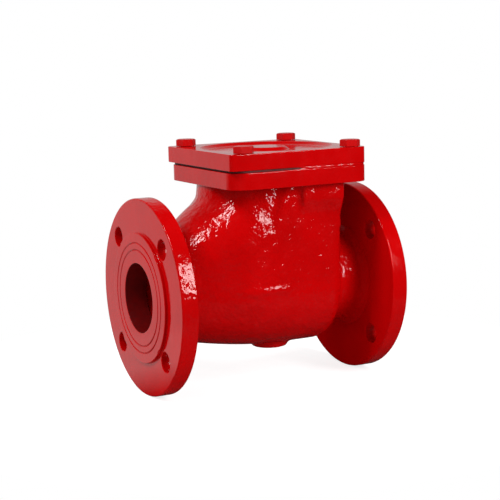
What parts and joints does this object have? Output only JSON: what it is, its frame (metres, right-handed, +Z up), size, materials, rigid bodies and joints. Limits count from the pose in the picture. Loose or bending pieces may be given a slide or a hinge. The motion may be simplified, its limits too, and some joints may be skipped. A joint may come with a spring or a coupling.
{
  "type": "non-return valve",
  "caption": "Flanged swing check valve: a red cast body with a bolted square cover, and inside a rubber-faced disc on a hinged arm that closes on a bronze seat.",
  "frame": {"origin": "on the pipe's centre line, midway between the two flange faces", "axes": "+X along the pipe towards the inlet, +Z up through the cover, -Y towards the viewer"},
  "size_m": [0.24, 0.185, 0.2324],
  "materials": {
    "body": "gloss",
    "cover": "gloss",
    "cover_gasket": "matt",
    "cover_bolt_front_left": "gloss",
    "cover_bolt_front_right": "gloss",
    "cover_bolt_back_left": "gloss",
    "cover_bolt_back_right": "gloss",
    "body_seat_ring": "machined",
    "disc": "cast",
    "disc_facing": "matt",
    "facing_retainer": "machined",
    "retainer_screw": "bright",
    "hinge_arm": "satin",
    "arm_bush_front": "machined",
    "arm_bush_back": "machined",
    "hinge_pin": "ground",
    "hinge_block_front": "machined",
    "hinge_block_back": "machined",
    "disc_washer": "bright",
    "disc_nut": "bright",
    "split_pin": "bright"
  },
  "bodies": {
    "valve_body": {"body": "body", "cover": "cover", "cover_gasket": "cover_gasket", "cover_bolt_front_left": "cover_bolt_front_left", "cover_bolt_front_right": "cover_bolt_front_right", "cover_bolt_back_left": "cover_bolt_back_left", "cover_bolt_back_right": "cover_bolt_back_right", "body_seat_ring": "body_seat_ring", "hinge_pin": "hinge_pin", "hinge_block_front": "hinge_block_front", "hinge_block_back": "hinge_block_back"},
    "swing_arm": {"hinge_arm": "hinge_arm", "arm_bush_front": "arm_bush_front", "arm_bush_back": "arm_bush_back"},
    "clapper_disc": {"disc": "disc", "disc_facing": "disc_facing", "facing_retainer": "facing_retainer", "retainer_screw": "retainer_screw", "disc_washer": "disc_washer", "disc_nut": "disc_nut", "split_pin": "split_pin"}
  },
  "joints": [
    {"name": "clapper_swing", "type": "hinge", "parent": "valve_body", "child": "swing_arm", "pos_m": [0.038, 0, 0.068], "axis": [0, 1, 0], "range_deg": [0, 68]},
    {"name": "disc_spin", "type": "hinge", "parent": "swing_arm", "child": "clapper_disc", "pos_m": [0.036, 0, 0], "axis": [1, 0, 0], "continuous": true}
  ]
}
